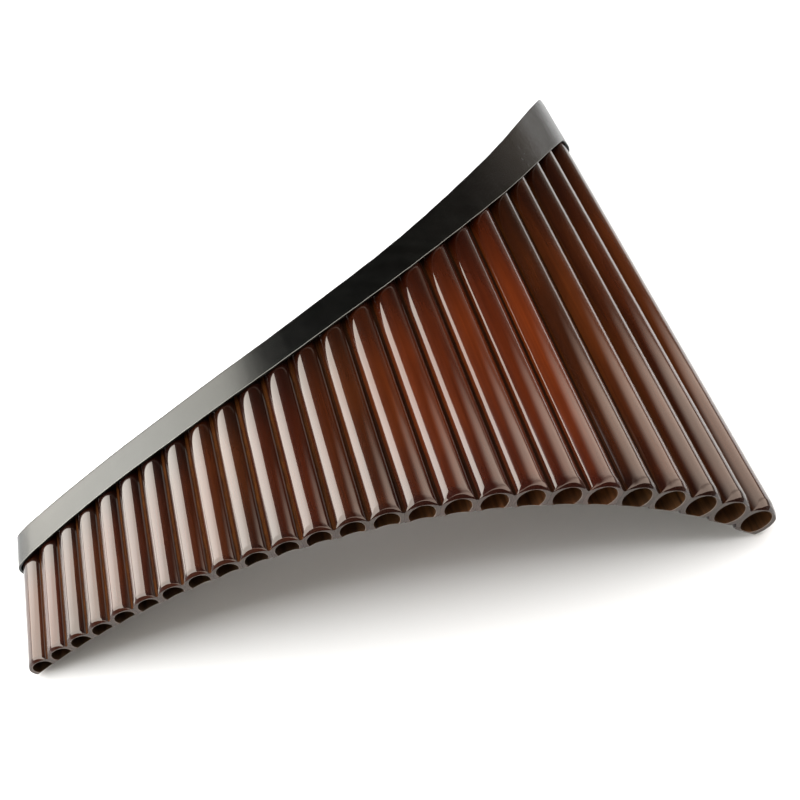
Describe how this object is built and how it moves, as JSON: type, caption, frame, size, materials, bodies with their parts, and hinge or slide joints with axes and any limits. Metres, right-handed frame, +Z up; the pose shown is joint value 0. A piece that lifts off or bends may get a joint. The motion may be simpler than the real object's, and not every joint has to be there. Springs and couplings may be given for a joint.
{
  "type": "pan flute",
  "caption": "Curved pan flute: graduated glossy pipes glued side by side with their mouths in one plane, stopped inside and bound by a dark strap round the closed ends.",
  "frame": {"origin": "middle of the bottom of the bounding box, on the surface the flute lies on", "axes": "+X along the row from the shortest pipe to the longest, +Y along the pipes from their mouths to their closed ends, +Z up out of the convex side"},
  "size_m": [0.3296, 0.3224, 0.0715],
  "materials": {
    "pipe_lacquer": "dark red-brown stain under high-gloss lacquer, with sanded mouth rims",
    "stopper": "matt",
    "strap_leather": "satin, fine grain, pale cut edge",
    "glue": "clear glossy adhesive over the stained wood"
  },
  "bodies": {
    "root": {"pipe_01": "pipe_lacquer", "pipe_02": "pipe_lacquer", "pipe_03": "pipe_lacquer", "pipe_04": "pipe_lacquer", "pipe_05": "pipe_lacquer", "pipe_06": "pipe_lacquer", "pipe_07": "pipe_lacquer", "pipe_08": "pipe_lacquer", "pipe_09": "pipe_lacquer", "pipe_10": "pipe_lacquer", "pipe_11": "pipe_lacquer", "pipe_12": "pipe_lacquer", "pipe_13": "pipe_lacquer", "pipe_14": "pipe_lacquer", "pipe_15": "pipe_lacquer", "pipe_16": "pipe_lacquer", "pipe_17": "pipe_lacquer", "pipe_18": "pipe_lacquer", "pipe_19": "pipe_lacquer", "pipe_20": "pipe_lacquer", "pipe_21": "pipe_lacquer", "pipe_22": "pipe_lacquer", "pipe_23": "pipe_lacquer", "pipe_24": "pipe_lacquer", "pipe_25": "pipe_lacquer", "stopper_01": "stopper", "stopper_02": "stopper", "stopper_03": "stopper", "stopper_04": "stopper", "stopper_05": "stopper", "stopper_06": "stopper", "stopper_07": "stopper", "stopper_08": "stopper", "stopper_09": "stopper", "stopper_10": "stopper", "stopper_11": "stopper", "stopper_12": "stopper", "stopper_13": "stopper", "stopper_14": "stopper", "stopper_15": "stopper", "stopper_16": "stopper", "stopper_17": "stopper", "stopper_18": "stopper", "stopper_19": "stopper", "stopper_20": "stopper", "stopper_21": "stopper", "stopper_22": "stopper", "stopper_23": "stopper", "stopper_24": "stopper", "stopper_25": "stopper", "strap": "strap_leather", "glue_convex": "glue", "glue_concave": "glue"}
  },
  "joints": []
}
